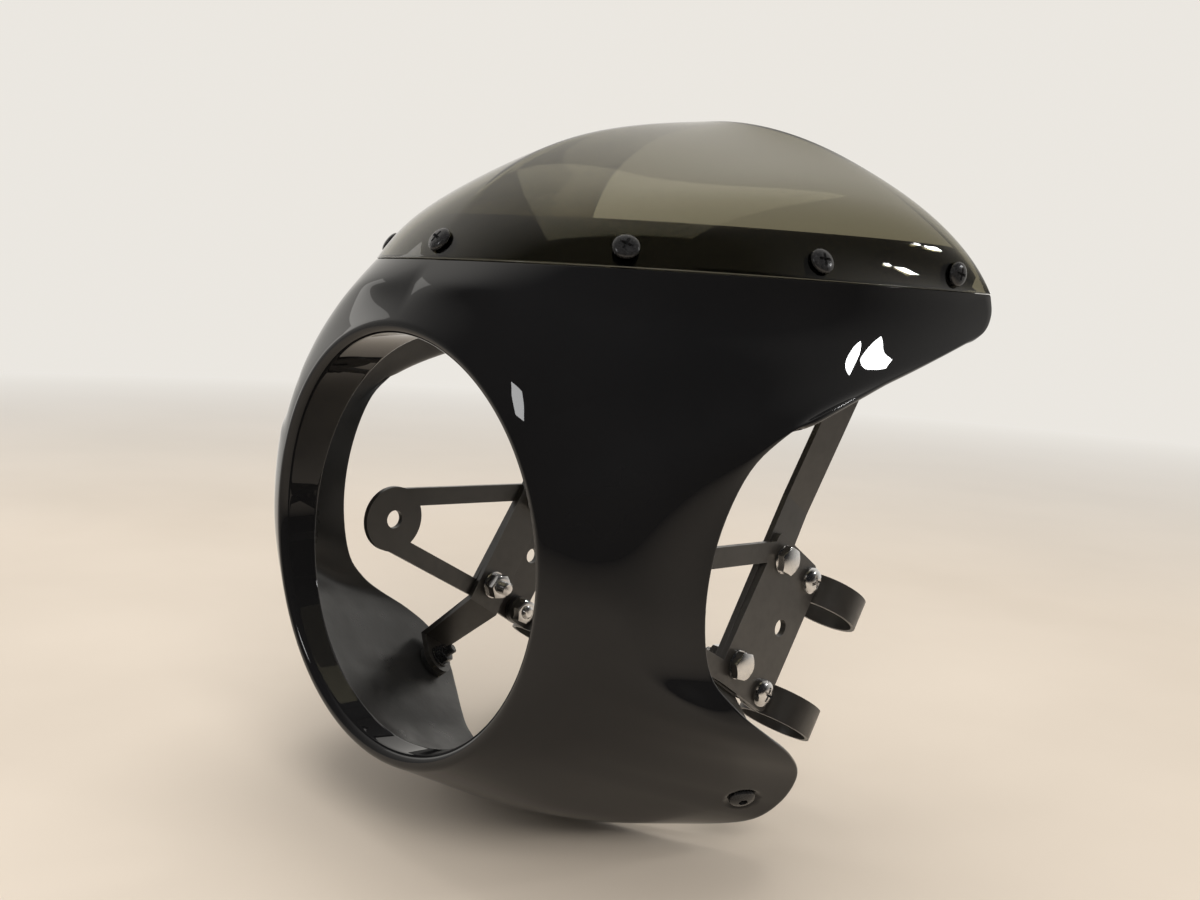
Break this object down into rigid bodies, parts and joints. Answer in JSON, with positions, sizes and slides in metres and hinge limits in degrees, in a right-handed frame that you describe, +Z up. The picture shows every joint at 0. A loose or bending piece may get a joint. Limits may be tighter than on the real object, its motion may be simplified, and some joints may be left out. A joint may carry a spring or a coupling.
{
  "type": "headlight cowl",
  "caption": "Cafe-racer headlight cowl: gloss-black shell with round lamp opening and side wings, smoked screen, and side brackets with fork clamps.",
  "frame": {"origin": "on the lamp opening's axis, in the plane of the lip's foremost edge", "axes": "+X towards the rider's left, the side nearer the camera in the picture, +Y rearwards along the lamp's axis, +Z up; the lamp looks along -Y"},
  "size_m": [0.2952, 0.2654, 0.3565],
  "materials": {
    "shell_gloss": "high gloss black",
    "screen_smoke": "smoked clear",
    "screw_black": "black oxide",
    "bracket_black": "satin black powder coat",
    "bolt_zinc": "bright zinc plating",
    "pad_rubber": "matt"
  },
  "bodies": {
    "root": {"shell": "shell_gloss", "screen": "screen_smoke", "screen_screws": "screw_black", "screen_washers": "screw_black", "screen_nuts": "screw_black", "bracket_plate_left": "bracket_black", "bracket_plate_right": "bracket_black", "stay_left": "bracket_black", "stay_right": "bracket_black", "hex_bolts_left": "bolt_zinc", "hex_bolts_right": "bolt_zinc", "hex_washers_left": "bolt_zinc", "hex_washers_right": "bolt_zinc", "hex_nuts_left": "bolt_zinc", "hex_nuts_right": "bolt_zinc", "clamp_bolts_left": "bolt_zinc", "clamp_bolts_right": "bolt_zinc", "clamp_nuts_left": "bolt_zinc", "clamp_nuts_right": "bolt_zinc", "clamp_upper_left": "bracket_black", "clamp_upper_right": "bracket_black", "clamp_lower_left": "bracket_black", "clamp_lower_right": "bracket_black", "ear_screw_left": "screw_black", "ear_screw_right": "screw_black", "ear_pad_left": "pad_rubber", "ear_pad_right": "pad_rubber", "ear_washer_left": "screw_black", "ear_washer_right": "screw_black", "ear_nut_left": "screw_black", "ear_nut_right": "screw_black"}
  },
  "joints": []
}
